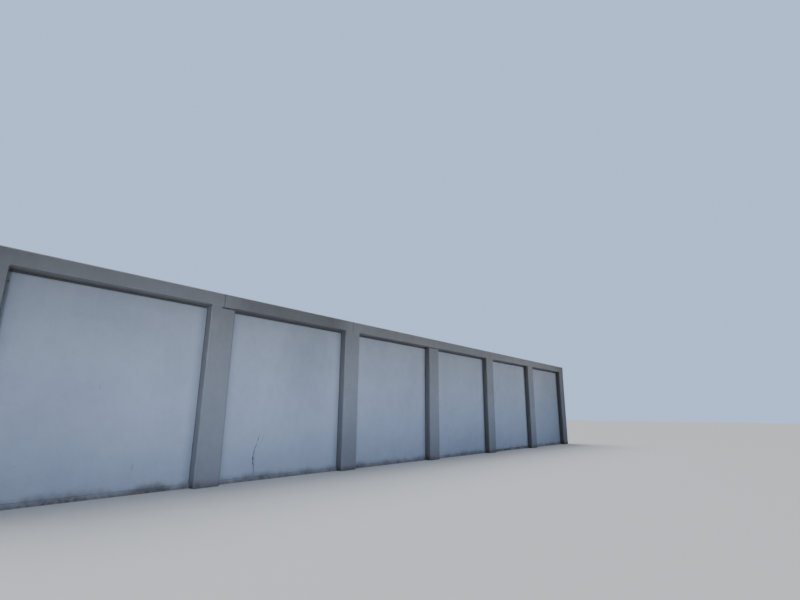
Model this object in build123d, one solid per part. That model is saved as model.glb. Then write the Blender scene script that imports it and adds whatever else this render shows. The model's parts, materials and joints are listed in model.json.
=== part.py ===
from build123d import *
from math import sqrt
import os

# Concrete security wall: precast posts with seating grooves, panels slotted in between them on
# ground beams, and a cap beam over every bay. X runs along the wall, the street face looks
# towards -Y, and Z = 0 is the ground. All sizes are in millimetres.

# Run of the wall
bayCount = 6
bayPitch = 3650.0
wallHeight = 3660.0

# Posts
postWidth = 508.0
postDepth = 500.0
postArris = 19.0

# Grooves down the sides of the posts, which hold the panels
grooveDepth = 60.0
groovePlay = 6.0
grooveEndPlay = 10.0

# Panels, and the ground beams that they stand on
panelThickness = 160.0
panelArris = 3.0
groundBeamHeight = 75.0
groundBeamProud = 4.0
groundBeamArris = 3.0

# Strip that closes the gap between a panel and the cap beam
headJointHeight = 48.0
headJointSetback = 28.0

# Cap beams, with their mortar beds on the posts
capHeight = 275.0
capArris = 19.0
capJointWidth = 14.0
capJointSetback = 4.0
capJointTopSetback = 5.0
bedHeight = 34.0

# Places where the pointing has fallen out of a bed, and the sealant out of a cap joint
openBedSetback = 60.0
openBedHalfPost = 2
openBedPastCentre = 50.0
openBedPost = 4
openCapJoint = 2
openCapJointDrop = 72.0

# Levels and lengths that follow
capUnderside = wallHeight - capHeight
postHeight = capUnderside - bedHeight
panelTop = capUnderside - headJointHeight
panelHeight = panelTop - groundBeamHeight
clearBay = bayPitch - postWidth
grooveWidth = panelThickness + 2 * groovePlay
panelLength = clearBay + 2 * (grooveDepth - grooveEndPlay)
groundBeamThickness = panelThickness + 2 * groundBeamProud
headJointThickness = panelThickness - 2 * headJointSetback
wallLength = bayCount * bayPitch + postWidth

onBase = (Align.CENTER, Align.CENTER, Align.MIN)


def postX(number):
    """Centre of a post, counted from 1 at the left end."""
    return (number - 1 - bayCount / 2) * bayPitch


def bayX(number):
    """Centre of a bay, counted from 1 at the left end."""
    return (postX(number) + postX(number + 1)) / 2


def makePostPlan():
    """Outline of a post with its corners eased, which its mortar bed follows too."""
    plan = Rectangle(postWidth, postDepth)
    return chamfer(plan.vertices(), postArris)


def makePost(number):
    """Square post with eased corners and a groove on each side that takes a panel."""
    plan = makePostPlan()
    for side in (-1, 1):
        hasBay = number + side in range(1, bayCount + 2)
        if hasBay:
            plan -= Pos(side * postWidth / 2, 0) * Rectangle(2 * grooveDepth, grooveWidth)
    return Pos(postX(number), 0, 0) * extrude(plan, postHeight)


def makeBeam(length, thickness, height, topArris, lowerArris=0.0):
    """Straight precast beam along X, with its long edges eased at the top and below."""
    beam = Box(length, thickness, height, align=onBase)
    levels = beam.edges().filter_by(Axis.X).group_by(Axis.Z)
    beam = chamfer(levels[-1], topArris)
    if lowerArris > 0:
        levels = beam.edges().filter_by(Axis.X).group_by(Axis.Z)
        beam = chamfer(levels[0], lowerArris)
    return beam


def makePanel(number):
    """Plain slab that stands on its ground beam, with its ends in the post grooves."""
    slab = makeBeam(panelLength, panelThickness, panelHeight, panelArris, panelArris)
    return Pos(bayX(number), 0, groundBeamHeight) * slab


def makeGroundBeam(number):
    """Kerb between two posts, eased along its top edges only."""
    kerb = makeBeam(clearBay, groundBeamThickness, groundBeamHeight, groundBeamArris)
    return Pos(bayX(number), 0, 0) * kerb


def makeHeadJoint(number):
    """Filler strip set back between the panel's top edge and the cap beam."""
    strip = Box(clearBay, headJointThickness, headJointHeight, align=onBase)
    return Pos(bayX(number), 0, panelTop) * strip


def makeCapBeam(number):
    """Cap beam over one bay, from post centre to post centre or to the wall's end.

    Its lower edges are eased over the open bay only, so that it sits flush on the posts.
    """
    left = postX(number) + capJointWidth / 2
    right = postX(number + 1) - capJointWidth / 2
    if number == 1:
        left = -wallLength / 2
    if number == bayCount:
        right = wallLength / 2
    beam = makeBeam(right - left, postDepth, capHeight, capArris)
    beam = Pos((left + right) / 2, 0, capUnderside) * beam
    for side in (-1, 1):
        lowerEdge = Pos(bayX(number), side * postDepth / 2, capUnderside)
        beam -= lowerEdge * Rot(45, 0, 0) * Box(clearBay, capArris * sqrt(2), capArris * sqrt(2))
    return beam


def makeCapJoint(number):
    """Sealant strip between two cap beams over a post, set back from all their faces."""
    drop = openCapJointDrop if number == openCapJoint else capJointTopSetback
    depth = postDepth - 2 * capJointSetback
    strip = Box(capJointWidth, depth, capHeight - drop, align=onBase)
    return Pos(postX(number), 0, capUnderside) * strip


def makeBed(number):
    """Mortar bed on a post head, flush with it or with its pointing gone."""
    openStart = postWidth / 2
    if number == openBedPost:
        openStart = -postWidth / 2
    if number == openBedHalfPost:
        openStart = -openBedPastCentre
    bed = makePostPlan()
    openWidth = postWidth / 2 - openStart
    for side in (-1, 1):
        if openWidth > 0:
            lost = Rectangle(openWidth, 2 * openBedSetback, align=(Align.MIN, Align.CENTER))
            bed -= Pos(openStart, side * postDepth / 2) * lost
    return Pos(postX(number), 0, postHeight) * extrude(bed, bedHeight)


pieces = {}
for number in range(1, bayCount + 2):
    pieces[f"post_{number}"] = makePost(number)
    pieces[f"mortar_bed_{number}"] = makeBed(number)
for number in range(1, bayCount + 1):
    pieces[f"ground_beam_{number}"] = makeGroundBeam(number)
    pieces[f"panel_{number}"] = makePanel(number)
    pieces[f"head_joint_{number}"] = makeHeadJoint(number)
    pieces[f"cap_beam_{number}"] = makeCapBeam(number)
for number in range(2, bayCount + 1):
    pieces[f"cap_joint_{number}"] = makeCapJoint(number)

os.makedirs("parts", exist_ok=True)
for name, piece in pieces.items():
    export_step(piece, f"parts/{name}.step")
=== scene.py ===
import json
import math
import random

import bpy
from mathutils import Matrix, Vector, noise

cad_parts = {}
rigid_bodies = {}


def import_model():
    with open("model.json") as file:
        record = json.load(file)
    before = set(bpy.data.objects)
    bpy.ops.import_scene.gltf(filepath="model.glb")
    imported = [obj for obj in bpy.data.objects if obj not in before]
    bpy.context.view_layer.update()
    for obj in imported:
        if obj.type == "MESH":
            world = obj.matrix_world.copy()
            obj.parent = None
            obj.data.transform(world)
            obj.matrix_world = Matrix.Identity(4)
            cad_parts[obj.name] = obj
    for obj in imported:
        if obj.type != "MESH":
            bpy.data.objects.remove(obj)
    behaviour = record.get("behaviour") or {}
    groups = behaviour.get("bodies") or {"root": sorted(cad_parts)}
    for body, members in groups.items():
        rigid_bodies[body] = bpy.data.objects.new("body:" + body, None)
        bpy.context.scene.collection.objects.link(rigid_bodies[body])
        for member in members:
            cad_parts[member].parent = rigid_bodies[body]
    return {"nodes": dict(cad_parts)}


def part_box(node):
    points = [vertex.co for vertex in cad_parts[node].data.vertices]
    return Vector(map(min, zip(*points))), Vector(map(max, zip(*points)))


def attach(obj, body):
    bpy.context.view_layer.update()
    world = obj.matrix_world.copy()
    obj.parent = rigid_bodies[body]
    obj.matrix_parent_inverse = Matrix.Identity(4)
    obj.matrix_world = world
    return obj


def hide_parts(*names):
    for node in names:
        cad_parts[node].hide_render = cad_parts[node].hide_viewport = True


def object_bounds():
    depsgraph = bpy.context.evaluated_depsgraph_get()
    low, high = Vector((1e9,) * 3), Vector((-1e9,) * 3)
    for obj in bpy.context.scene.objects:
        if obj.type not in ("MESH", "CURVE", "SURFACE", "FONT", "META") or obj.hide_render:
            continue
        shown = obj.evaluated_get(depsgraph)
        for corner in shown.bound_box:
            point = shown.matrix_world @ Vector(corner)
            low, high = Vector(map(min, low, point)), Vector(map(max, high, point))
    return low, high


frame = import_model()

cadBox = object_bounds()
nodes = frame["nodes"]

# Lengths of the wall, read off the frame, in metres
bayCount = sum(name.startswith("panel_") for name in nodes)
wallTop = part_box("cap_beam_1")[1].z
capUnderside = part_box("cap_beam_1")[0].z
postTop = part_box("post_1")[1].z
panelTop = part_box("panel_1")[1].z
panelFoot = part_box("panel_1")[0].z
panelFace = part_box("panel_1")[0].y
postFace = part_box("post_4")[0].y
postHalf = (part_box("post_4")[1].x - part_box("post_4")[0].x) / 2
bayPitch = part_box("post_5")[0].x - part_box("post_4")[0].x


def postX(number):
    return (number - 1 - bayCount / 2) * bayPitch


def linearColor(hexColor):
    channels = [int(hexColor[i:i + 2], 16) / 255 for i in (1, 3, 5)]
    return [c / 12.92 if c <= 0.04045 else ((c + 0.055) / 1.055) ** 2.4 for c in channels] + [1.0]


def addNode(tree, kind, settings=(), links=()):
    node = tree.nodes.new(kind)
    for name, value in dict(settings).items():
        if isinstance(name, str) and name in node.bl_rna.properties:
            setattr(node, name, value)
        elif name in ("From", "To"):            # both ends of a range
            for end, limit in zip(("Min", "Max"), value):
                node.inputs[f"{name} {end}"].default_value = limit
        else:
            node.inputs[name].default_value = value
    for name, source in dict(links).items():
        if isinstance(source, bpy.types.Node):      # a node stands for its first output
            source = source.outputs[0]
        tree.links.new(source, node.inputs[name])
    return node


def startMaterial(name):
    material = bpy.data.materials.new(name)
    material.use_nodes = True
    tree = material.node_tree
    tree.nodes.clear()
    shader = addNode(tree, "ShaderNodeBsdfPrincipled")
    addNode(tree, "ShaderNodeOutputMaterial", {}, {"Surface": shader})
    place = addNode(tree, "ShaderNodeTexCoord").outputs["Object"]
    return material, tree, shader, place


cameraLook = {
    "place": (-12.111, -8.705, 1.332),
    "yaw": 50.82,           # degrees from straight at the wall, towards its far end
    "pitch": 13.80,         # degrees above level
    "roll": 0.43,
    "focalPixels": 464.3,   # of an image 800 pixels wide
    "imageWidth": 800,
    "sensorWidth": 36,
    "sight": 500,           # metres
}


def placeCamera(look):
    yaw, pitch, roll = (math.radians(look[key]) for key in ("yaw", "pitch", "roll"))
    forward = Vector((math.sin(yaw) * math.cos(pitch), math.cos(yaw) * math.cos(pitch), math.sin(pitch)))
    level = Vector((math.cos(yaw), -math.sin(yaw), 0))
    upright = level.cross(forward)
    right = level * math.cos(roll) + upright * math.sin(roll)
    up = upright * math.cos(roll) - level * math.sin(roll)
    turn = Matrix((right, up, -forward)).transposed()
    camera = bpy.data.objects.new("camera", bpy.data.cameras.new("camera"))
    camera.matrix_world = Matrix.Translation(look["place"]) @ turn.to_4x4()
    camera.data.sensor_width = look["sensorWidth"]
    camera.data.lens = look["sensorWidth"] * look["focalPixels"] / look["imageWidth"]
    camera.data.clip_end = look["sight"]
    bpy.context.collection.objects.link(camera)
    bpy.context.scene.camera = camera


placeCamera(cameraLook)
print("camera placed")

# Masonry paint on cast concrete, laid on by roller: matt, with a soft orange peel and a slow
# unevenness of the cast face under it, which is what the eye catches along such a wall
panelPaint = {
    "name": "off-white acrylic masonry paint",
    "color": "#D6D9DB",
    "patchColor": "#CED1D4",
    "patchSize": 1300,           # mm, as all sizes here that aren't said to be metres
    "cloudSize": 385,            # of the clouds that thin out and thicken the dirt
    "rollerColor": "#DFE1E2",
    "rollerWidth": 230,
    "rollerAmount": 0.08,
    "dustColor": "#9B9A94",      # dust held by the stipple, in blots
    "stippleSize": 9,            # drawn coarser than the real 3 mm, so that it shows
    "stippleAmount": 0.25,
    "blotSize": 170,
    "blotAmount": 0.11,
    "pitColor": "#5B5A55",       # blow holes of the cast face, which the paint has not filled
    "pitSpacing": 40,
    "pitRadius": 4,              # of the largest
    "pitDepth": 3,
    "streakColor": "#8F9494",
    "streakWidth": 130,
    "streakAmount": 0.05,
    "streakTop": panelTop,       # metres
    "streakLength": 2900,
    # Sooty grime and painted shade under the cap beams
    "grimeAndShadeColor": "#8A8780",
    "grimeAndShadeAmount": 0.20,
    "grimeAndShadeDepth": 260,
    "stainAndShadowColor": "#55584F",
    # Weather stains on the front, and one painted shadow: x, z, half width and half height in metres, and amount. The
    # first is painted shadow, the soft shade of a tree that stands in front of the second bay.
    "stainsAndShadow": [(-5.0, 2.35, 1.25, 1.7, 0.15), (-8.35, 0.02, 0.85, 0.13, 0.62),
               (-6.23, 0.42, 0.06, 0.50, 0.16), (-9.23, 1.72, 0.035, 0.06, 0.14),
               (-8.57, 0.44, 0.022, 0.075, 0.25), (-10.655, 3.19, 0.02, 0.045, 0.8)],
    "footWave": 280,             # how far the upper edges of the dirt at the foot go up and down
    "splashColor": "#8E8378",
    "splashAmount": 0.80,
    "splashRange": (140, 330),   # full up to the first level, gone from the second
    "mildewColor": "#34362D",
    "mildewAmount": 0.75,
    "mildewRange": (90, 240),
    "speckSize": 77,
    "wearAndHighlightColor": "#8E8B84",
    "wearAndHighlightAmount": (0.25, 0.35),  # where the paint still holds, and where it is chipped
    "chipSize": 111,
    "peelDepth": 0.8,
    "swellSize": 700,
    "swellDepth": 3.0,
    "roughness": 0.86,
    "roughnessSpread": 0.07,
}
# The same kind of paint on posts, beds and cap beams, where the laps show more and it is a
# little less matt
framePaint = dict(panelPaint, **{
    "name": "warm grey acrylic masonry paint",
    "color": "#AEABA6",
    "patchColor": "#A5A29D",
    "rollerColor": "#B4B1AD",
    "rollerAmount": 0.16,
    "dustColor": "#8A8781",
    "stippleAmount": 0.30,
    "blotAmount": 0.20,
    "streakColor": "#5F5D5A",
    "streakWidth": 75,
    "streakAmount": 0.07,
    "streakTop": wallTop,
    "streakLength": 900,
    "grimeAndShadeColor": "#6B6763",
    "grimeAndShadeAmount": 0.03,
    "grimeAndShadeDepth": 420,
    "stainsAndShadow": [(-8.1, 3.62, 0.5, 0.10, 0.30)],
    "splashColor": "#7A7067",
    # Paler than the paint: worn edges, and a painted highlight on the arrises
    "wearAndHighlightColor": "#B9B6AF",
    "wearAndHighlightAmount": (0.25, 0.45),
    "roughness": 0.80,
})

# How the patterns of both paints are drawn. An edge is the value of a noise where its pattern
# starts, and the value where it is full.
pattern = {
    "patchEdge": (0.38, 0.64),
    "lapEdge": (0.45, 0.70),
    "lapStretch": 0.12,          # laps and streaks have this share of their scale upwards
    "dustEdge": (0.42, 0.68),
    "pitEdge": (0.0, -0.02),     # from the rim of a hole inwards, in spacings
    "pitShade": 0.75,
    "streakEdge": (0.46, 0.76),
    "streakStretch": 0.035,
    "stainEdge": (1.0, 0.15),    # from the rim of a stain to where it is full
    "stainDepth": 0.2,           # metres in front of and behind a panel's face
    "frayEdge": (0.30, 0.62),
    "fray": (0.75, 1.35),        # how far out its ragged rim counts as lying
    "speckEdge": (0.42, 0.62),
    "chipEdge": (0.47, 0.56),
}
hair = 0.0005       # metres that a test of place reaches past a face, or stays short of it
slant = 0.707       # a normal's share along an axis, on the chamfered arrises
slack = 0.15        # how far off a normal's share may be


# What the layers of the paints ask of each spot of the surface
def readSurface(tree, place, look):
    split = addNode(tree, "ShaderNodeSeparateXYZ", {}, {0: place})
    normal = addNode(tree, "ShaderNodeNewGeometry").outputs["Normal"]
    facing = addNode(tree, "ShaderNodeSeparateXYZ", {}, {0: normal})
    cloud = addNode(tree, "ShaderNodeTexNoise", {
        "Scale": 1000 / look["cloudSize"], "Detail": 6.0, "Roughness": 0.62}, {"Vector": place})
    stipple = addNode(tree, "ShaderNodeTexNoise", {
        "Scale": 1000 / look["stippleSize"], "Detail": 3.0, "Roughness": 0.6}, {"Vector": place})

    # Blow holes, each of its own size
    pits = addNode(tree, "ShaderNodeTexVoronoi", {
        "Scale": 1000 / look["pitSpacing"], "Randomness": 1.0}, {"Vector": place})
    chance = addNode(tree, "ShaderNodeSeparateXYZ", {}, {0: pits.outputs["Color"]})
    reach = addNode(tree, "ShaderNodeMath", {
        "operation": "MULTIPLY", 1: look["pitRadius"] / look["pitSpacing"]}, {0: chance.outputs["X"]})
    fromRim = addNode(tree, "ShaderNodeMath", {"operation": "SUBTRACT"}, {0: pits.outputs["Distance"], 1: reach})
    inPit = addNode(tree, "ShaderNodeMapRange", {
        "From": pattern["pitEdge"], "To": (0, pattern["pitShade"])}, {"Value": fromRim})
    return {"place": place, "x": split.outputs["X"], "y": split.outputs["Y"], "height": split.outputs["Z"],
            "facing": facing.outputs, "cloud": cloud, "stipple": stipple, "inPit": inPit}


# Each function below gives layers of colour, in the order in which they cover each other: the
# share that a layer covers, and its colour
def rollerLayers(tree, spot, look):
    scale = 1000 / look["rollerWidth"]
    lapPlace = addNode(tree, "ShaderNodeMapping", {
        "Scale": (scale, scale, scale * pattern["lapStretch"])}, {"Vector": spot["place"]})
    laps = addNode(tree, "ShaderNodeTexNoise", {"Scale": 1.0, "Detail": 2.0}, {"Vector": lapPlace})
    lapShare = addNode(tree, "ShaderNodeMapRange", {
        "From": pattern["lapEdge"], "To": (0, look["rollerAmount"])}, {"Value": laps})
    layers = [(lapShare, look["rollerColor"])]

    # Close to, the roller's stipple holds dust, more of it in some places than in others
    blots = addNode(tree, "ShaderNodeTexNoise", {
        "Scale": 1000 / look["blotSize"], "Detail": 7.0, "Roughness": 0.68}, {"Vector": spot["place"]})
    for grain, amount in ((spot["stipple"], look["stippleAmount"]), (blots, look["blotAmount"])):
        dustShare = addNode(tree, "ShaderNodeMapRange", {
            "From": pattern["dustEdge"], "To": (0, amount)}, {"Value": grain})
        layers.append((dustShare, look["dustColor"]))
    layers.append((spot["inPit"], look["pitColor"]))
    return layers


def weatherLayers(tree, spot, look):
    # Run-off streaks, and darkening in clouds, that start at the top and thin out on the way down; on the panels the
    # darkening is sooty grime and painted shade under the cap beams
    scale = 1000 / look["streakWidth"]
    streakPlace = addNode(tree, "ShaderNodeMapping", {
        "Scale": (scale, scale, scale * pattern["streakStretch"])}, {"Vector": spot["place"]})
    streakNoise = addNode(tree, "ShaderNodeTexNoise", {
        "Scale": 1.0, "Detail": 4.0, "Roughness": 0.6}, {"Vector": streakPlace})
    streaks = addNode(tree, "ShaderNodeMapRange", {"From": pattern["streakEdge"]}, {"Value": streakNoise})
    layers = []
    for shape, length, amount, color in (
            (streaks, look["streakLength"], look["streakAmount"], look["streakColor"]),
            (spot["cloud"], look["grimeAndShadeDepth"], look["grimeAndShadeAmount"], look["grimeAndShadeColor"])):
        fade = addNode(tree, "ShaderNodeMapRange", {
            "interpolation_type": "SMOOTHSTEP", "From": (look["streakTop"] - length / 1000, look["streakTop"]),
            "To": (0, amount)}, {"Value": spot["height"]})
        share = addNode(tree, "ShaderNodeMath", {"operation": "MULTIPLY"}, {0: shape, 1: fade})
        layers.append((share, color))

    # Weather stains, and the painted shadow of a tree, each a soft ragged blot
    ragged = addNode(tree, "ShaderNodeMapRange", {
        "From": pattern["frayEdge"], "To": pattern["fray"]}, {"Value": spot["cloud"]})
    for x, z, halfWidth, halfHeight, amount in look["stainsAndShadow"]:
        offset = addNode(tree, "ShaderNodeVectorMath", {
            "operation": "SUBTRACT", 1: (x, panelFace, z)}, {0: spot["place"]})
        scaled = addNode(tree, "ShaderNodeVectorMath", {
            "operation": "MULTIPLY", 1: (1 / halfWidth, 1 / pattern["stainDepth"], 1 / halfHeight)}, {0: offset})
        reach = addNode(tree, "ShaderNodeVectorMath", {"operation": "LENGTH"}, {0: scaled})
        frayed = addNode(tree, "ShaderNodeMath", {"operation": "MULTIPLY"}, {0: reach.outputs["Value"], 1: ragged})
        share = addNode(tree, "ShaderNodeMapRange", {
            "interpolation_type": "SMOOTHSTEP", "From": pattern["stainEdge"], "To": (0, amount)}, {"Value": frayed})
        layers.append((share, look["stainAndShadowColor"]))
    return layers


# Dirt and painted shade in the corners of a bay: a narrow strip of dirt and painted shade and a fade of painted shade
# beside one post, a fade of painted shade alone beside the next one, and under the joint above the panel a band of
# painted shade with dirt washed down from the joint
bayDirtAndShade = {
    "color": "#4E504C",
    "stripWidth": 62,            # mm
    "stripSoftness": (12, -6),
    "stripAmount": 0.22,
    "patchEdge": (0.30, 0.55),
    "patchLeast": 0.55,
    # The two fades are painted shade, where the posts keep light off the corners of the panel
    "nearCornerShade": (300, 0.23),     # width in mm and amount
    "farCornerShade": (240, 0.42),
    "fadePast": 60,              # how far inside the post a fade would be full
    # A band of painted shade under the cap beam, with some dirt, on the top of the panel
    "headColor": "#7C776B",
    "headRange": (-20, 18),      # from the panel's top: where it starts, and where it would be full
    "headWave": 30,
    "headAmount": 0.28,
}


def bayLayers(tree, spot, look):
    # Place in the run of bays: nought at a post's centre, and on to the next one
    alongBay = addNode(tree, "ShaderNodeMath", {"operation": "FLOORED_MODULO", 1: bayPitch}, {0: spot["x"]})
    stripEnds = [postHalf + (look["stripWidth"] + soft) / 1000 for soft in look["stripSoftness"]]
    strip = addNode(tree, "ShaderNodeMapRange", {
        "From": stripEnds, "To": (0, look["stripAmount"])}, {"Value": alongBay})
    patches = addNode(tree, "ShaderNodeMapRange", {
        "From": look["patchEdge"], "To": (look["patchLeast"], 1)}, {"Value": spot["cloud"]})
    stripShare = addNode(tree, "ShaderNodeMath", {"operation": "MULTIPLY"}, {0: strip, 1: patches})
    layers = [(stripShare, look["color"])]
    # Painted shade beside both posts, deepest in the corners
    for corner, inward, (width, amount) in (
            (postHalf, 1, look["nearCornerShade"]), (bayPitch - postHalf, -1, look["farCornerShade"])):
        fadeEnds = [corner + inward * reach / 1000 for reach in (width, -look["fadePast"])]
        fade = addNode(tree, "ShaderNodeMapRange", {
            "interpolation_type": "SMOOTHERSTEP", "From": fadeEnds, "To": (0, amount)}, {"Value": alongBay})
        layers.append((fade, look["color"]))

    # Painted shade under the cap beam on the top of the panel, with some dirt washed down from the joint above it
    wave = addNode(tree, "ShaderNodeMath", {"operation": "MULTIPLY", 1: look["headWave"] / 1000}, {0: spot["cloud"]})
    wavyHeight = addNode(tree, "ShaderNodeMath", {"operation": "ADD"}, {0: spot["height"], 1: wave})
    headEnds = [panelTop + level / 1000 for level in look["headRange"]]
    headShare = addNode(tree, "ShaderNodeMapRange", {
        "interpolation_type": "SMOOTHSTEP", "From": headEnds, "To": (0, look["headAmount"])}, {"Value": wavyHeight})
    layers.append((headShare, look["headColor"]))
    return layers


# Painted light and shade on the cap beams: all of them a little paler, as painted light, since more light falls on
# the top of the wall; and one of them darker, as the painted shadow of a tree in front of it
capLightAndShadow = {
    "paintedLightColor": "#CFCCC6",
    "paintedLightAmount": 0.09,
    "shadedCap": 2,
    "treeShadowColor": "#6B6763",
    "treeShadowAmount": 0.45,
    "treeShadowSpread": (0.7, 1.3),    # of that amount, in clouds
    "cloudEdge": (0.2, 0.8),
    "endFade": 0.7,              # metres
}


def capLayers(tree, spot, look):
    onCaps = addNode(tree, "ShaderNodeMath", {
        "operation": "GREATER_THAN", 1: capUnderside - hair}, {0: spot["height"]})
    # Painted light: all cap beams a little paler
    paintedLightShare = addNode(tree, "ShaderNodeMath", {"operation": "MULTIPLY", 1: look["paintedLightAmount"]}, {0: onCaps})
    # Painted shadow of a tree on one cap beam, in clouds
    capMiddle = postX(look["shadedCap"]) + bayPitch / 2
    offset = addNode(tree, "ShaderNodeMath", {"operation": "SUBTRACT", 1: capMiddle}, {0: spot["x"]})
    fromMiddle = addNode(tree, "ShaderNodeMath", {"operation": "ABSOLUTE"}, {0: offset})
    fadeEnds = (bayPitch / 2, bayPitch / 2 - look["endFade"])
    onCap = addNode(tree, "ShaderNodeMapRange", {
        "interpolation_type": "SMOOTHSTEP", "From": fadeEnds}, {"Value": fromMiddle})
    onShadedCap = addNode(tree, "ShaderNodeMath", {"operation": "MULTIPLY"}, {0: onCaps, 1: onCap})
    amounts = [look["treeShadowAmount"] * share for share in look["treeShadowSpread"]]
    clouds = addNode(tree, "ShaderNodeMapRange", {"From": look["cloudEdge"], "To": amounts}, {"Value": spot["cloud"]})
    treeShadowShare = addNode(tree, "ShaderNodeMath", {"operation": "MULTIPLY"}, {0: onShadedCap, 1: clouds})
    return [(paintedLightShare, look["paintedLightColor"]), (treeShadowShare, look["treeShadowColor"])]


# Dirt splashed up by rain, with an uneven upper edge, and specks of mildew in it at the very foot
def footLayers(tree, spot, look):
    wave = addNode(tree, "ShaderNodeMath", {"operation": "MULTIPLY", 1: look["footWave"] / 1000}, {0: spot["cloud"]})
    wavyHeight = addNode(tree, "ShaderNodeMath", {"operation": "ADD"}, {0: spot["height"], 1: wave})
    fades = []
    for levels, amount in (
            (look["splashRange"], look["splashAmount"]), (look["mildewRange"], look["mildewAmount"])):
        fades.append(addNode(tree, "ShaderNodeMapRange", {
            "interpolation_type": "SMOOTHSTEP", "From": [level / 1000 for level in levels],
            "To": (amount, 0)}, {"Value": wavyHeight}))
    splash, mildew = fades
    grain = addNode(tree, "ShaderNodeTexNoise", {
        "Scale": 1000 / look["speckSize"], "Detail": 5.0, "Roughness": 0.7}, {"Vector": spot["place"]})
    specks = addNode(tree, "ShaderNodeMapRange", {"From": pattern["speckEdge"]}, {"Value": grain})
    mildewShare = addNode(tree, "ShaderNodeMath", {"operation": "MULTIPLY"}, {0: specks, 1: mildew})
    return [(splash, look["splashColor"]), (mildewShare, look["mildewColor"])]


# Painted shade on faces by which way they turn: the lower arris of the cap beams, their soffit, and the arrises
# that face the wall's far end: a normal's axis and share, and the amount
facingShade = {"color": "#5C5851", "faces": [("Z", -slant, 0.52), ("Z", -1.0, 0.20), ("X", slant, 0.40)]}


def arrisLayers(tree, spot, look):
    # Paint worn off the arrises of the front and back, which lie at 45 degrees. On the grey paint the worn colour is
    # paler than the paint: worn edges and a painted highlight on the arrises.
    sideways = addNode(tree, "ShaderNodeMath", {"operation": "ABSOLUTE"}, {0: spot["facing"]["Y"]})
    arris = addNode(tree, "ShaderNodeMath", {"operation": "COMPARE", 1: slant, 2: slack}, {0: sideways})
    grain = addNode(tree, "ShaderNodeTexNoise", {
        "Scale": 1000 / look["chipSize"], "Detail": 6.0, "Roughness": 0.7}, {"Vector": spot["place"]})
    chips = addNode(tree, "ShaderNodeMapRange", {
        "From": pattern["chipEdge"], "To": look["wearAndHighlightAmount"]}, {"Value": grain})
    wearAndHighlightShare = addNode(tree, "ShaderNodeMath", {"operation": "MULTIPLY"}, {0: arris, 1: chips})
    layers = [(wearAndHighlightShare, look["wearAndHighlightColor"])]
    # Painted shade on the undersides and on the arrises facing the far end
    for axis, share, amount in facingShade["faces"]:
        face = addNode(tree, "ShaderNodeMath", {
            "operation": "COMPARE", 1: share, 2: slack}, {0: spot["facing"][axis]})
        facingShadeShare = addNode(tree, "ShaderNodeMath", {"operation": "MULTIPLY", 1: amount}, {0: face})
        layers.append((facingShadeShare, facingShade["color"]))
    return layers


# Tops blackened by rain, with paler lichen in spots
topLook = {
    "color": "#65635B",
    "lichenColor": "#9C9A8C",
    "lichenSize": 60,            # mm
    "lichenEdge": (0.55, 0.66),
    "upward": (0.6, 0.9),        # shares of the normal that count as not a top, and as a full one
    "amount": 0.95,
    "cloudEdge": (0.28, 0.55),
    "cloudSpread": (0.45, 1.0),
}


def blackenTop(tree, spot, look):
    grain = addNode(tree, "ShaderNodeTexNoise", {
        "Scale": 1000 / look["lichenSize"], "Detail": 6.0, "Roughness": 0.65}, {"Vector": spot["place"]})
    lichen = addNode(tree, "ShaderNodeMapRange", {"From": look["lichenEdge"]}, {"Value": grain})
    tone = addNode(tree, "ShaderNodeMix", {
        "data_type": "RGBA", 6: linearColor(look["color"]), 7: linearColor(look["lichenColor"])}, {0: lichen})
    upward = addNode(tree, "ShaderNodeMapRange", {
        "From": look["upward"], "To": (0, look["amount"])}, {"Value": spot["facing"]["Z"]})
    clouds = addNode(tree, "ShaderNodeMapRange", {
        "From": look["cloudEdge"], "To": look["cloudSpread"]}, {"Value": spot["cloud"]})
    share = addNode(tree, "ShaderNodeMath", {"operation": "MULTIPLY"}, {0: upward, 1: clouds})
    return share, tone.outputs[2]


# Mortar beds whose pointing is gone: each post, and from where, in metres from its middle. The
# faces inside are darker: unpainted and dirty, and painted shade for the deep slot.
openBeds = {2: -0.05, 4: -postHalf}
openBedShadeColor = "#57544E"


def insideOpenBed(tree, spot):
    runs = []
    for number, start in openBeds.items():
        middle, half = postX(number) + (start + postHalf) / 2, (postHalf - start) / 2
        runs.append(addNode(tree, "ShaderNodeMath", {
            "operation": "COMPARE", 1: middle, 2: half + hair}, {0: spot["x"]}))
    overPost = addNode(tree, "ShaderNodeMath", {"operation": "ADD"}, {0: runs[0], 1: runs[1]})
    middle, half = (capUnderside + postTop) / 2, (capUnderside - postTop) / 2
    level = addNode(tree, "ShaderNodeMath", {"operation": "COMPARE", 1: middle, 2: half + hair}, {0: spot["height"]})
    across = addNode(tree, "ShaderNodeMath", {"operation": "ABSOLUTE"}, {0: spot["y"]})
    setBack = addNode(tree, "ShaderNodeMath", {"operation": "LESS_THAN", 1: -postFace - hair}, {0: across})
    inBed = addNode(tree, "ShaderNodeMath", {"operation": "MULTIPLY"}, {0: overPost, 1: level})
    return addNode(tree, "ShaderNodeMath", {"operation": "MULTIPLY"}, {0: inBed, 1: setBack})


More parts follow.
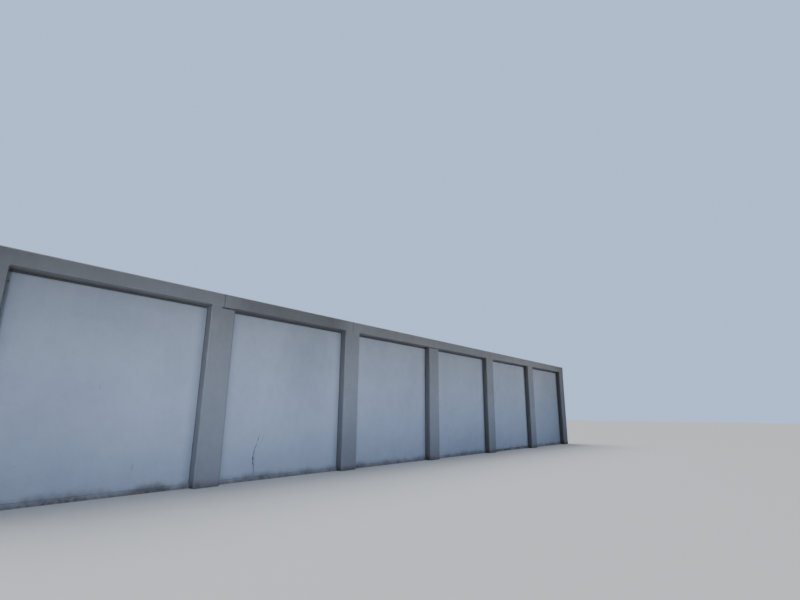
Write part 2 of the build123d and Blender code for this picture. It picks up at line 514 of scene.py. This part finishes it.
def masonryPaint(look, ownLayers, ownDirtAndPaintedLight):
    material, tree, shader, place = startMaterial(look["name"])
    spot = readSurface(tree, place, look)
    patches = addNode(tree, "ShaderNodeTexNoise", {
        "Scale": 1000 / look["patchSize"], "Detail": 5.0}, {"Vector": place})
    patchShare = addNode(tree, "ShaderNodeMapRange", {"From": pattern["patchEdge"]}, {"Value": patches})
    tone = addNode(tree, "ShaderNodeMix", {
        "data_type": "RGBA", 6: linearColor(look["color"]), 7: linearColor(look["patchColor"])}, {0: patchShare})
    layers = rollerLayers(tree, spot, look) + weatherLayers(tree, spot, look) + ownLayers(tree, spot, ownDirtAndPaintedLight)
    layers += footLayers(tree, spot, look) + arrisLayers(tree, spot, look)
    for share, color in layers:     # each covers the ones before it
        tone = addNode(tree, "ShaderNodeMix", {
            "data_type": "RGBA", 7: linearColor(color)}, {0: share, 6: tone.outputs[2]})
    topShare, topTone = blackenTop(tree, spot, topLook)
    tone = addNode(tree, "ShaderNodeMix", {"data_type": "RGBA"}, {0: topShare, 6: tone.outputs[2], 7: topTone})
    # Painted shade and old dirt inside the open beds
    tone = addNode(tree, "ShaderNodeMix", {
        "data_type": "RGBA", 7: linearColor(openBedShadeColor)}, {0: insideOpenBed(tree, spot), 6: tone.outputs[2]})
    tree.links.new(tone.outputs[2], shader.inputs["Base Color"])

    # Sheen is broken where the paint is dirty
    sheen = [look["roughness"] + side * look["roughnessSpread"] for side in (-1, 1)]
    roughness = addNode(tree, "ShaderNodeMapRange", {"To": sheen}, {"Value": spot["cloud"]})
    tree.links.new(roughness.outputs[0], shader.inputs["Roughness"])

    # The slow swell of the cast face, then its blow holes, then the roller's orange peel
    swell = addNode(tree, "ShaderNodeTexNoise", {"Scale": 1000 / look["swellSize"], "Detail": 1.5}, {"Vector": place})
    swellBump = addNode(tree, "ShaderNodeBump", {
        "Strength": 1.0, "Distance": look["swellDepth"] / 1000}, {"Height": swell})
    pitBump = addNode(tree, "ShaderNodeBump", {
        "Strength": 1.0, "Distance": look["pitDepth"] / 1000, "invert": True},
        {"Height": spot["inPit"], "Normal": swellBump})
    peelBump = addNode(tree, "ShaderNodeBump", {
        "Strength": 1.0, "Distance": look["peelDepth"] / 1000}, {"Height": spot["stipple"], "Normal": pitBump})
    tree.links.new(peelBump.outputs[0], shader.inputs["Normal"])
    return material


# Old joint filler and sealant, greyed by dust and overspray, so the joints read as soft dark
# lines. Grain and bump in mm.
fillerLook = {"name": "weathered bituminous joint filler", "color": "#545047", "dustColor": "#6E6A61",
              "grain": 30, "bump": 2, "roughness": 0.92}
sealantLook = {"name": "painted-over polysulphide sealant", "color": "#918E8A", "dustColor": "#726F6A",
               "grain": 25, "bump": 2, "roughness": 0.75}
beadLook = {"name": "aged brown acrylic sealant", "color": "#8A867C", "dustColor": "#6A665D",
            "grain": 35, "bump": 2, "roughness": 0.78}
# What a crack shows: old dirt, nearly black, with no sheen
crackLook = {"name": "dirt in cracked concrete", "color": "#232422", "dustColor": "#3A3B36",
             "grain": 18, "bump": 2, "roughness": 0.95}


def jointRubber(look):
    material, tree, shader, place = startMaterial(look["name"])
    dust = addNode(tree, "ShaderNodeTexNoise", {"Scale": 1000 / look["grain"], "Detail": 4.0}, {"Vector": place})
    tone = addNode(tree, "ShaderNodeMix", {
        "data_type": "RGBA", 6: linearColor(look["color"]), 7: linearColor(look["dustColor"])}, {0: dust})
    tree.links.new(tone.outputs[2], shader.inputs["Base Color"])
    shader.inputs["Roughness"].default_value = look["roughness"]
    bump = addNode(tree, "ShaderNodeBump", {"Strength": 0.6, "Distance": look["bump"] / 1000}, {"Height": dust})
    tree.links.new(bump.outputs[0], shader.inputs["Normal"])
    return material


# Bare cast concrete, damp at the foot, and broken mortar: darker than the paint, with sand grain
concreteLook = {"name": "bare cast concrete", "color": "#A7A39B", "dampColor": "#6F6B63",
                "dampSize": 330, "dampEdge": (0.35, 0.65), "grain": 40, "bump": 3, "roughness": 0.93}
mortarLook = dict(concreteLook, **{"name": "broken cement mortar", "color": "#98938A", "dampColor": "#68645C",
                                   "grain": 15, "roughness": 0.95})


def bareConcrete(look):
    material, tree, shader, place = startMaterial(look["name"])
    sand = addNode(tree, "ShaderNodeTexNoise", {
        "Scale": 1000 / look["grain"], "Detail": 7.0, "Roughness": 0.7}, {"Vector": place})
    cloud = addNode(tree, "ShaderNodeTexNoise", {"Scale": 1000 / look["dampSize"], "Detail": 5.0}, {"Vector": place})
    damp = addNode(tree, "ShaderNodeMapRange", {"From": look["dampEdge"]}, {"Value": cloud})
    tone = addNode(tree, "ShaderNodeMix", {
        "data_type": "RGBA", 6: linearColor(look["color"]), 7: linearColor(look["dampColor"])}, {0: damp})
    tree.links.new(tone.outputs[2], shader.inputs["Base Color"])
    shader.inputs["Roughness"].default_value = look["roughness"]
    bump = addNode(tree, "ShaderNodeBump", {"Strength": 0.8, "Distance": look["bump"] / 1000}, {"Height": sand})
    tree.links.new(bump.outputs[0], shader.inputs["Normal"])
    return material


whitePaint = masonryPaint(panelPaint, bayLayers, bayDirtAndShade)
greyPaint = masonryPaint(framePaint, capLayers, capLightAndShadow)
filler = jointRubber(fillerLook)
sealant = jointRubber(sealantLook)
bead = jointRubber(beadLook)
crackDirt = jointRubber(crackLook)
concrete = bareConcrete(concreteLook)
brokenMortar = bareConcrete(mortarLook)
finishes = {"post": greyPaint, "cap_beam": greyPaint, "mortar_bed": greyPaint, "panel": whitePaint,
            "ground_beam": whitePaint, "head_joint": filler, "cap_joint": sealant}
bareBay = 5     # the bay whose ground beam has lost its paint

for name, node in nodes.items():
    finish = finishes[name.rsplit("_", 1)[0]]
    if name == f"ground_beam_{bareBay}":
        finish = concrete
    for slot in node.material_slots:
        slot.material = finish
print("paint on")


def addPiece(name, vertices, faces, material):
    mesh = bpy.data.meshes.new(name)
    mesh.from_pydata([tuple(vertex) for vertex in vertices], [], faces)
    mesh.materials.append(material)
    piece = bpy.data.objects.new(name, mesh)
    bpy.context.collection.objects.link(piece)
    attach(piece, "root")
    return piece


# A closed box cut into cells, which share their corners
def latticeBox(low, high, steps):
    index, vertices, faces = {}, [], []

    def cornerAt(key):
        if key not in index:
            index[key] = len(vertices)
            vertices.append(Vector([low[i] + (high[i] - low[i]) * key[i] / steps[i] for i in range(3)]))
        return index[key]

    for axis in range(3):
        u, v = (axis + 1) % 3, (axis + 2) % 3
        for side in (0, steps[axis]):
            for a in range(steps[u]):
                for b in range(steps[v]):
                    cell = []
                    for stepA, stepB in ((0, 0), (1, 0), (1, 1), (0, 1)):
                        key = [side] * 3
                        key[u], key[v] = a + stepA, b + stepB
                        cell.append(cornerAt(tuple(key)))
                    faces.append(cell if side else cell[::-1])
    return vertices, faces


# Strips in the joints: their hidden faces stay where the solids are, and the faces that show
# are ragged where the filler has swollen and torn. Sizes of pieces in metres from here on.
headFiller = {"cell": 0.028, "stepsUp": 3, "ragged": 0.006, "grain": 0.05}
capSealant = {"cell": 0.010, "stepsWide": 6, "stepsDeep": 24, "hollow": 0.004, "ragged": 0.0015, "grain": 0.03}


def fillHeads(look):
    for number in range(1, bayCount + 1):
        low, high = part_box(f"head_joint_{number}")
        steps = (round((high.x - low.x) / look["cell"]), 1, look["stepsUp"])
        vertices, faces = latticeBox(low, high, steps)
        for vertex in vertices:
            side = 1 if vertex.y > 0 else -1
            vertex.y += side * look["ragged"] * noise.noise(vertex / look["grain"])
        piece = addPiece(f"head_filler_{number}", vertices, faces, filler)
        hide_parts(f"head_joint_{number}")


def sealCaps(look):
    for number in range(2, bayCount + 1):
        low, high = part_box(f"cap_joint_{number}")
        steps = (look["stepsWide"], look["stepsDeep"], round((high.z - low.z) / look["cell"]))
        vertices, faces = latticeBox(low, high, steps)
        middle, half = (low.x + high.x) / 2, (high.x - low.x) / 2
        for vertex in vertices:
            across = 1 - ((vertex.x - middle) / half) ** 2
            dent = look["hollow"] * across + look["ragged"] * noise.noise(vertex / look["grain"])
            if vertex.y in (low.y, high.y):
                vertex.y -= math.copysign(dent, vertex.y)
            if vertex.z == high.z:
                vertex.z -= dent
        piece = addPiece(f"cap_sealant_{number}", vertices, faces, sealant)
        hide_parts(f"cap_joint_{number}")


fillHeads(headFiller)
sealCaps(capSealant)
print("joint strips made")

# Sealant beads in the corners between panels and posts, tooled hollow by a finger
cornerBead = {
    "leg": 0.017,
    "wander": 0.004,        # how far a leg's length strays
    "wanderScale": 7,       # turns of that a metre
    "cell": 0.06,
    "arcSteps": 5,
    "bite": 0.0015,         # how far the bead sits in the concrete
}


# One bead's cross-section at a height, from the hidden corner round its hollow face
def beadRing(look, cornerX, end, side, z):
    leg = look["leg"] + look["wander"] * noise.noise(Vector((cornerX, side, z * look["wanderScale"])))
    ring = [Vector((cornerX + end * look["bite"], side * (-panelFace - look["bite"]), z))]
    for step in range(look["arcSteps"] + 1):
        turn = math.pi / 2 * step / look["arcSteps"]
        inward, outward = leg * (1 - math.sin(turn)), leg * (1 - math.cos(turn))
        if step == 0:
            outward = -look["bite"]
        if step == look["arcSteps"]:
            inward = -look["bite"]
        ring.append(Vector((cornerX - end * inward, side * (-panelFace + outward), z)))
    return ring


def layBeads(look):
    ringCount = round((panelTop - panelFoot) / look["cell"]) + 1
    ringSize = look["arcSteps"] + 2
    for number in range(1, bayCount + 1):
        vertices, faces = [], []
        for end in (-1, 1):
            cornerX = postX(number) + postHalf if end < 0 else postX(number + 1) - postHalf
            for side in (-1, 1):
                start = len(vertices)
                for ring in range(ringCount):
                    z = panelFoot + (panelTop - panelFoot) * ring / (ringCount - 1)
                    vertices += beadRing(look, cornerX, end, side, z)
                flip = end * side < 0
                for ring in range(ringCount - 1):
                    for point in range(ringSize):
                        a = start + ring * ringSize + point
                        b = start + ring * ringSize + (point + 1) % ringSize
                        cell = [a, b, b + ringSize, a + ringSize]
                        faces.append(cell if flip else cell[::-1])
                foot = list(range(start, start + ringSize))
                head = list(range(len(vertices) - ringSize, len(vertices)))
                faces.append(foot[::-1] if flip else foot)
                faces.append(head if flip else head[::-1])
        addPiece(f"corner_beads_{number}", vertices, faces, bead)


layBeads(cornerBead)
print("corner beads laid")

# Ragged mortar left at the back of the beds whose pointing has fallen out
leftMortar = {"setBack": 0.060, "cell": 0.008, "stepsUp": 4, "proud": 0.014, "grain": 0.035, "bite": 0.004}


def breakBeds(look):
    backY = -postFace - look["setBack"]
    for number, start in openBeds.items():
        vertices, faces = [], []
        for side in (-1, 1):
            low = Vector((postX(number) + start, backY - look["bite"], postTop))
            high = Vector((postX(number) + postHalf, backY, capUnderside))
            steps = (round((high.x - low.x) / look["cell"]), 1, look["stepsUp"])
            sideVertices, sideFaces = latticeBox(low, high, steps)
            first = len(vertices)
            for vertex in sideVertices:
                if vertex.y > backY - look["bite"] / 2:     # the face that shows
                    vertex.y += look["proud"] * (0.5 + 0.5 * noise.noise(vertex / look["grain"]))
                vertex.y *= side
            vertices += sideVertices
            faces += [[first + i for i in (cell if side > 0 else cell[::-1])] for cell in sideFaces]
        addPiece(f"broken_mortar_{number}", vertices, faces, brokenMortar)


breakBeds(leftMortar)
print("open beds roughened")

# Settlement crack in the second panel, cut into the slab. Each point has x from the post's
# centre, height, width of the mouth and depth, all in mm.
crack = {
    "panel": 2,
    "main": [(1168, 930, 3, 6), (1156, 850, 5, 8), (1150, 806, 13, 12), (1136, 775, 5, 8),
             (1112, 700, 6, 9), (1092, 655, 16, 15), (1080, 615, 6, 9), (1062, 544, 11, 14),
             (1052, 500, 6, 12), (1044, 440, 20, 24), (1052, 380, 9, 16), (1057, 330, 20, 20),
             (1075, 280, 6, 10), (1083, 251, 5, 10), (1080, 150, 5, 9), (1062, 90, 3, 7)],
    "branch": [(1262, 890, 3, 5), (1255, 821, 5, 7), (1218, 722, 4, 6), (1150, 640, 5, 7), (1096, 618, 4, 7)],
    "cuts": 3,                  # jags between two points
    "jag": 8,
    "widthSpread": (0.7, 1.3),
    "lip": 2,                   # how far the cutter stands out of the face
    "seed": 11,
}


def jaggedRoute(look, route, rng):
    points = []
    for here, there in zip(route, route[1:]):
        for cut in range(look["cuts"]):
            share = cut / look["cuts"]
            point = [a + (b - a) * share for a, b in zip(here, there)]
            if points and cut:
                point[0] += rng.uniform(-look["jag"], look["jag"])
                point[2] *= rng.uniform(*look["widthSpread"])
            points.append(point)
    return points + [list(route[-1])]


# A wedge along each route, with its edge inside the slab
def crackCutter(look):
    rng = random.Random(look["seed"])
    lip = look["lip"] / 1000
    vertices, faces = [], []
    for route in (look["main"], look["branch"]):
        points = jaggedRoute(look, route, rng)
        start = len(vertices)
        for point in points:
            x, z, width, depth = (value / 1000 for value in point)
            x += postX(look["panel"])
            flare = width / 2 * (1 + lip / depth)
            vertices += [(x - flare, panelFace - lip, z), (x + flare, panelFace - lip, z), (x, panelFace + depth, z)]
        for ring in range(len(points) - 1):
            for point in range(3):
                a, b = start + ring * 3 + point, start + ring * 3 + (point + 1) % 3
                faces.append([a, a + 3, b + 3, b])
        faces.append([start, start + 1, start + 2])
        faces.append([len(vertices) - 1, len(vertices) - 2, len(vertices) - 3])
    mesh = bpy.data.meshes.new("crack cutter")
    mesh.from_pydata(vertices, [], faces)
    mesh.materials.append(crackDirt)
    return mesh


def crackPanel(look):
    name = f"panel_{look['panel']}"
    body = bpy.data.objects.new("cracked_panel", nodes[name].data.copy())
    cutter = bpy.data.objects.new("crack cutter", crackCutter(look))
    for piece in (body, cutter):
        bpy.context.collection.objects.link(piece)
    body.data.materials.clear()
    body.data.materials.append(whitePaint)
    cut = body.modifiers.new("crack", "BOOLEAN")
    cut.object, cut.operation, cut.solver, cut.use_self = cutter, "DIFFERENCE", "EXACT", True
    cut.material_mode = "TRANSFER"
    bpy.context.view_layer.update()
    cracked = bpy.data.meshes.new_from_object(body.evaluated_get(bpy.context.evaluated_depsgraph_get()))
    body.modifiers.clear()
    body.data = cracked
    bpy.data.objects.remove(cutter)
    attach(body, "root")
    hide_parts(name)
    print("crack cut, faces:", len(cracked.polygons), "materials:", [m.name for m in cracked.materials])


crackPanel(crack)

# Soft light before a pale blue backdrop. The colours are cool, as open shade is.
studio = {
    "floorSize": 240.0,
    "floorColor": "#D3D7DC",
    "floorGrain": 330,           # mm
    "floorRoughness": (0.86, 0.94),
    "backdropColor": "#B0CCF4",
    "backdropStrength": 1.25,    # what the camera sees
    "fillColor": "#A9C2EC",      # what lights the wall from above and all round
    "fillStrength": 0.043,
    "bounceColor": "#C9BCA4",    # what lights the undersides
    "bounceStrength": 0.12,
    "horizonSoftness": 0.25,     # between the two, as a share of the way up and down
    "boxCount": 12,              # softboxes in a row along each side, which light only the wall
    "boxSize": (2.2, 1.0),
    "boxDistance": 5.6,          # in front of the post faces
    "boxSpread": 66.0,           # degrees that the grid on each softbox lets through
    "boxTurn": (-22.0, 27.0),    # degrees from straight at the wall: first and last box
    # Rows of boxes, with their height and power from the first box to the last, in even steps
    "rows": [{"color": "#CDD2DA", "height": (2.30, 3.90), "power": (9.6, 9.2, 8.4, 9.2, 10.9)},
             {"color": "#A0BEF3", "height": (1.35, 1.25), "power": (15.6, 14.2, 11.9, 11.2, 11.4)}],
    "backShare": 1.2,            # of that power on the far side of the wall
    "backPlace": 0.35,           # and the box of the near rows that all those behind repeat
    "endBox": {"size": (0.45, 3.4), "spread": 90.0, "color": "#C3D0E4", "power": 30.0},
    "endPlace": {"distance": 4.0, "height": 2.0},      # metres past the wall's ends, and height
    # Lamps straight overhead: power, tilt and softness in degrees
    "wallLamp": (2.2, 0.0, 12.0),                            # for the tops alone
    "floorLamps": [(1.9, 28.0, 50.0), (1.5, 0.0, 90.0)],     # and for the floor alone
}


# Matt paper for a floor, which takes a soft shadow and gives no glare
def layFloor(look):
    half = look["floorSize"] / 2
    mesh = bpy.data.meshes.new("floor")
    mesh.from_pydata([(-half, -half, 0), (half, -half, 0), (half, half, 0), (-half, half, 0)], [], [(0, 1, 2, 3)])
    floor = bpy.data.objects.new("floor", mesh)
    material, tree, shader, place = startMaterial("studio floor paper")
    grain = addNode(tree, "ShaderNodeTexNoise", {
        "Scale": 1000 / look["floorGrain"], "Detail": 6.0}, {"Vector": place})
    roughness = addNode(tree, "ShaderNodeMapRange", {"To": look["floorRoughness"]}, {"Value": grain})
    tree.links.new(roughness.outputs[0], shader.inputs["Roughness"])
    shader.inputs["Base Color"].default_value = linearColor(look["floorColor"])
    mesh.materials.append(material)
    floor.visible_diffuse = False       # its glare would wash out the soffits and the foot of the wall
    bpy.context.collection.objects.link(floor)
    return floor


def hangBackdrop(look):
    world = bpy.data.worlds.new("studio")
    world.use_nodes = True
    tree = world.node_tree
    tree.nodes.clear()
    direction = addNode(tree, "ShaderNodeTexCoord").outputs["Generated"]
    upward = addNode(tree, "ShaderNodeSeparateXYZ", {}, {0: direction}).outputs["Z"]
    horizon = (-look["horizonSoftness"], look["horizonSoftness"])
    fillShare = addNode(tree, "ShaderNodeMapRange", {"From": horizon}, {"Value": upward})
    lights = []
    for name in ("bounce", "fill", "backdrop"):
        lights.append(addNode(tree, "ShaderNodeBackground", {
            "Color": linearColor(look[f"{name}Color"]), "Strength": look[f"{name}Strength"]}))
    bounce, fill, backdrop = lights
    around = addNode(tree, "ShaderNodeMixShader", {}, {0: fillShare, 1: bounce, 2: fill})
    seen = addNode(tree, "ShaderNodeLightPath").outputs["Is Camera Ray"]
    mix = addNode(tree, "ShaderNodeMixShader", {}, {0: seen, 1: around, 2: backdrop})
    addNode(tree, "ShaderNodeOutputWorld", {}, {"Surface": mix})
    bpy.context.scene.world = world


def hangLamp(power, tilt, softness, lit):
    lamp = bpy.data.lights.new("overhead lamp", "SUN")
    lamp.energy = power
    lamp.angle = math.radians(softness)
    lampObject = bpy.data.objects.new(lamp.name, lamp)
    lampObject.rotation_euler = (-math.radians(tilt), 0, 0)
    bpy.context.collection.objects.link(lampObject)
    lampObject.light_linking.receiver_collection = lit


def hangBox(look, place, aim, lit):
    light = bpy.data.lights.new("softbox", "AREA")
    light.shape = "RECTANGLE"
    light.size, light.size_y = look["size"]
    light.spread = math.radians(look["spread"])
    light.energy = look["power"]
    light.color = linearColor(look["color"])[:3]
    box = bpy.data.objects.new(light.name, light)
    box.location = place
    box.rotation_euler = Vector(aim).to_track_quat("-Z", "Y").to_euler()
    box.visible_camera = False
    bpy.context.collection.objects.link(box)
    box.light_linking.receiver_collection = lit


# Value at a share of the way along a list, in even steps
def along(values, share):
    place = share * (len(values) - 1)
    index = min(int(place), len(values) - 2)
    return values[index] + (values[index + 1] - values[index]) * (place - index)


def lightStudio(look):
    wallOnly, floorOnly = bpy.data.collections.new("wall only"), bpy.data.collections.new("floor only")
    for piece in bpy.context.scene.objects:
        if piece.type == "MESH":
            wallOnly.objects.link(piece)
    floorOnly.objects.link(layFloor(look))
    hangBackdrop(look)
    hangLamp(*look["wallLamp"], wallOnly)
    for lamp in look["floorLamps"]:
        hangLamp(*lamp, floorOnly)
    for side in (-1, 1):
        place = (side * (cadBox[1].x + look["endPlace"]["distance"]), 0, look["endPlace"]["height"])
        hangBox(look["endBox"], place, (-side, 0, 0), wallOnly)

    lastBox = look["boxCount"] - 1
    spacing = (bayCount + 2) * bayPitch / look["boxCount"]      # the rows reach a bay past each end
    for side in (-1, 1):
        for row in look["rows"]:
            for number in range(look["boxCount"]):
                share = number / lastBox if side < 0 else look["backPlace"]
                height, power = along(row["height"], share), along(row["power"], share)
                turn = math.radians(along(look["boxTurn"], share))
                if side > 0:
                    power *= look["backShare"]
                place = ((number - lastBox / 2) * spacing, side * (look["boxDistance"] - postFace), height)
                aim = (-math.sin(turn), -side * math.cos(turn), 0)
                box = {"size": look["boxSize"], "spread": look["boxSpread"],
                       "power": power, "color": row["color"]}
                hangBox(box, place, aim, wallOnly)


lightStudio(studio)
print("studio lit")
